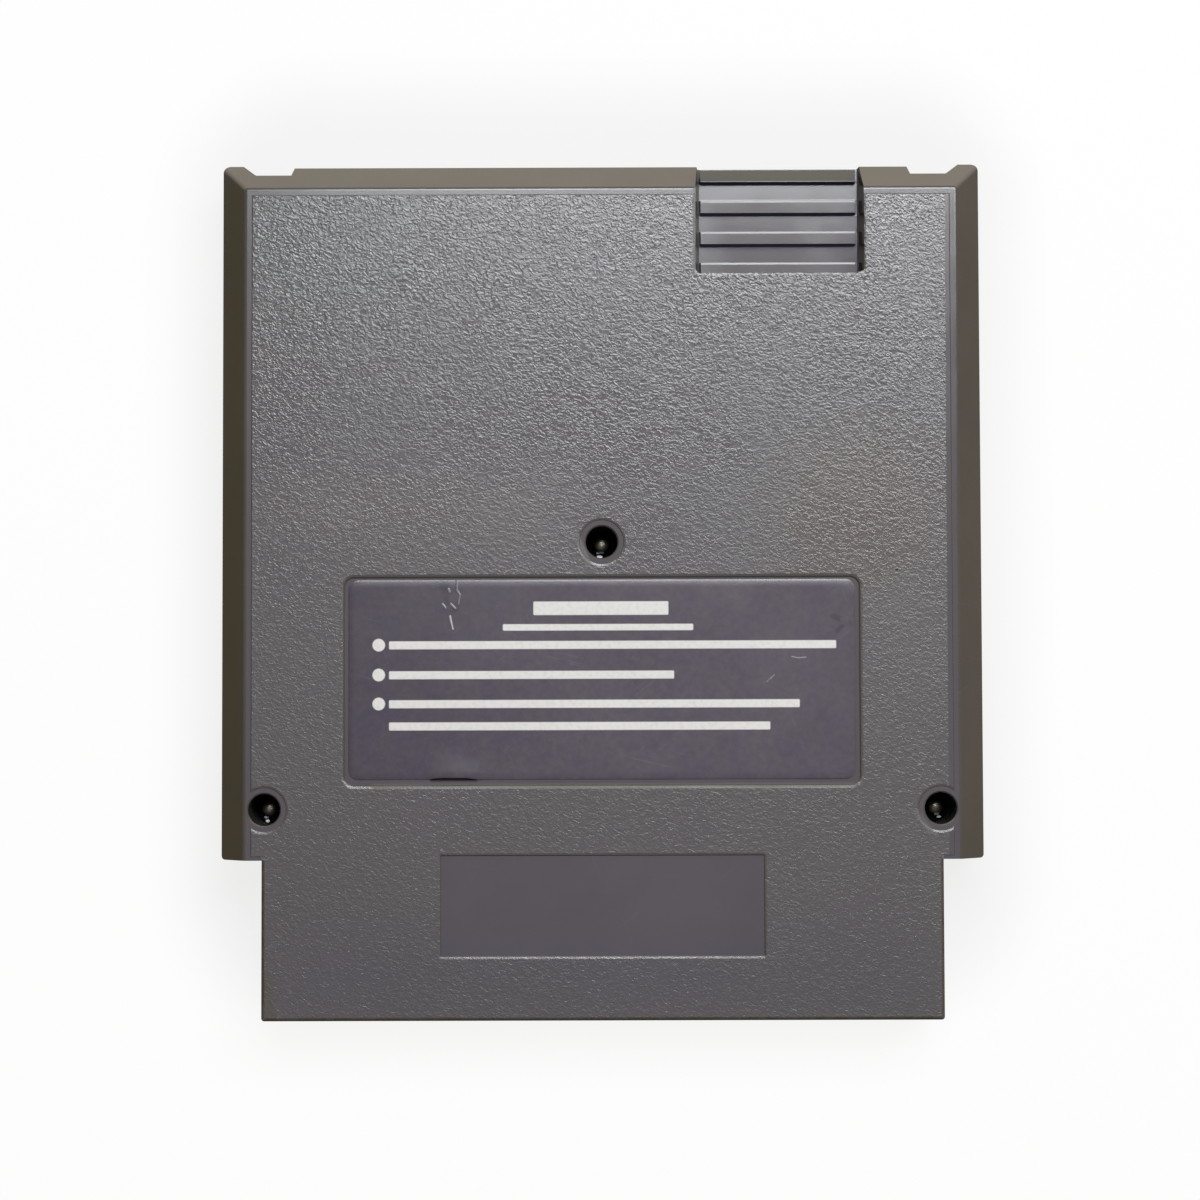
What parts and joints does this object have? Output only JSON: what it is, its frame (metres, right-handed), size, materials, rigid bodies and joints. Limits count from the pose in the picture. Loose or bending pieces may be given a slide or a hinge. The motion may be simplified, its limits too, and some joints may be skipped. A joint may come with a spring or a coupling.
{
  "type": "game cartridge",
  "caption": "Grey plastic game cartridge with sloped rear edges, a barred finger recess, label beds, recessed screws and a contact board in its open mouth.",
  "frame": {"origin": "under the middle of the case, on the plane that the front face rests on", "axes": "+X to the right and +Y up the rear face, towards the finger recess; +Z out of the rear face"},
  "size_m": [0.1192, 0.134, 0.017],
  "materials": {
    "case_plastic": "grained moulded grey with smooth borders",
    "screw_steel": "plated steel",
    "rear_label_paper": "satin printed sheet, scuffed",
    "front_label_paper": "satin printed sheet",
    "board_laminate": "lacquered",
    "contact_plating": "gold plated",
    "chip_moulding": "moulded resin",
    "tinned_lead": "tinned",
    "can_aluminium": "drawn",
    "sleeve_film": "shrunk film",
    "seal_rubber": "matt",
    "bypass_resin": "dipped resin"
  },
  "bodies": {
    "root": {"rear_shell": "case_plastic", "front_shell": "case_plastic", "case_screws": "screw_steel", "rear_label": "rear_label_paper", "front_label": "front_label_paper", "circuit_board": "board_laminate", "contacts_rear": "contact_plating", "contacts_front": "contact_plating", "program_rom": "chip_moulding", "graphics_rom": "chip_moulding", "lockout_chip": "chip_moulding", "program_rom_pins": "tinned_lead", "graphics_rom_pins": "tinned_lead", "lockout_chip_pins": "tinned_lead", "bulk_capacitor_can": "can_aluminium", "bulk_capacitor_sleeve": "sleeve_film", "bulk_capacitor_seal": "seal_rubber", "bulk_capacitor_leads": "tinned_lead", "bypass_capacitors": "bypass_resin", "bypass_capacitor_leads": "tinned_lead"}
  },
  "joints": []
}
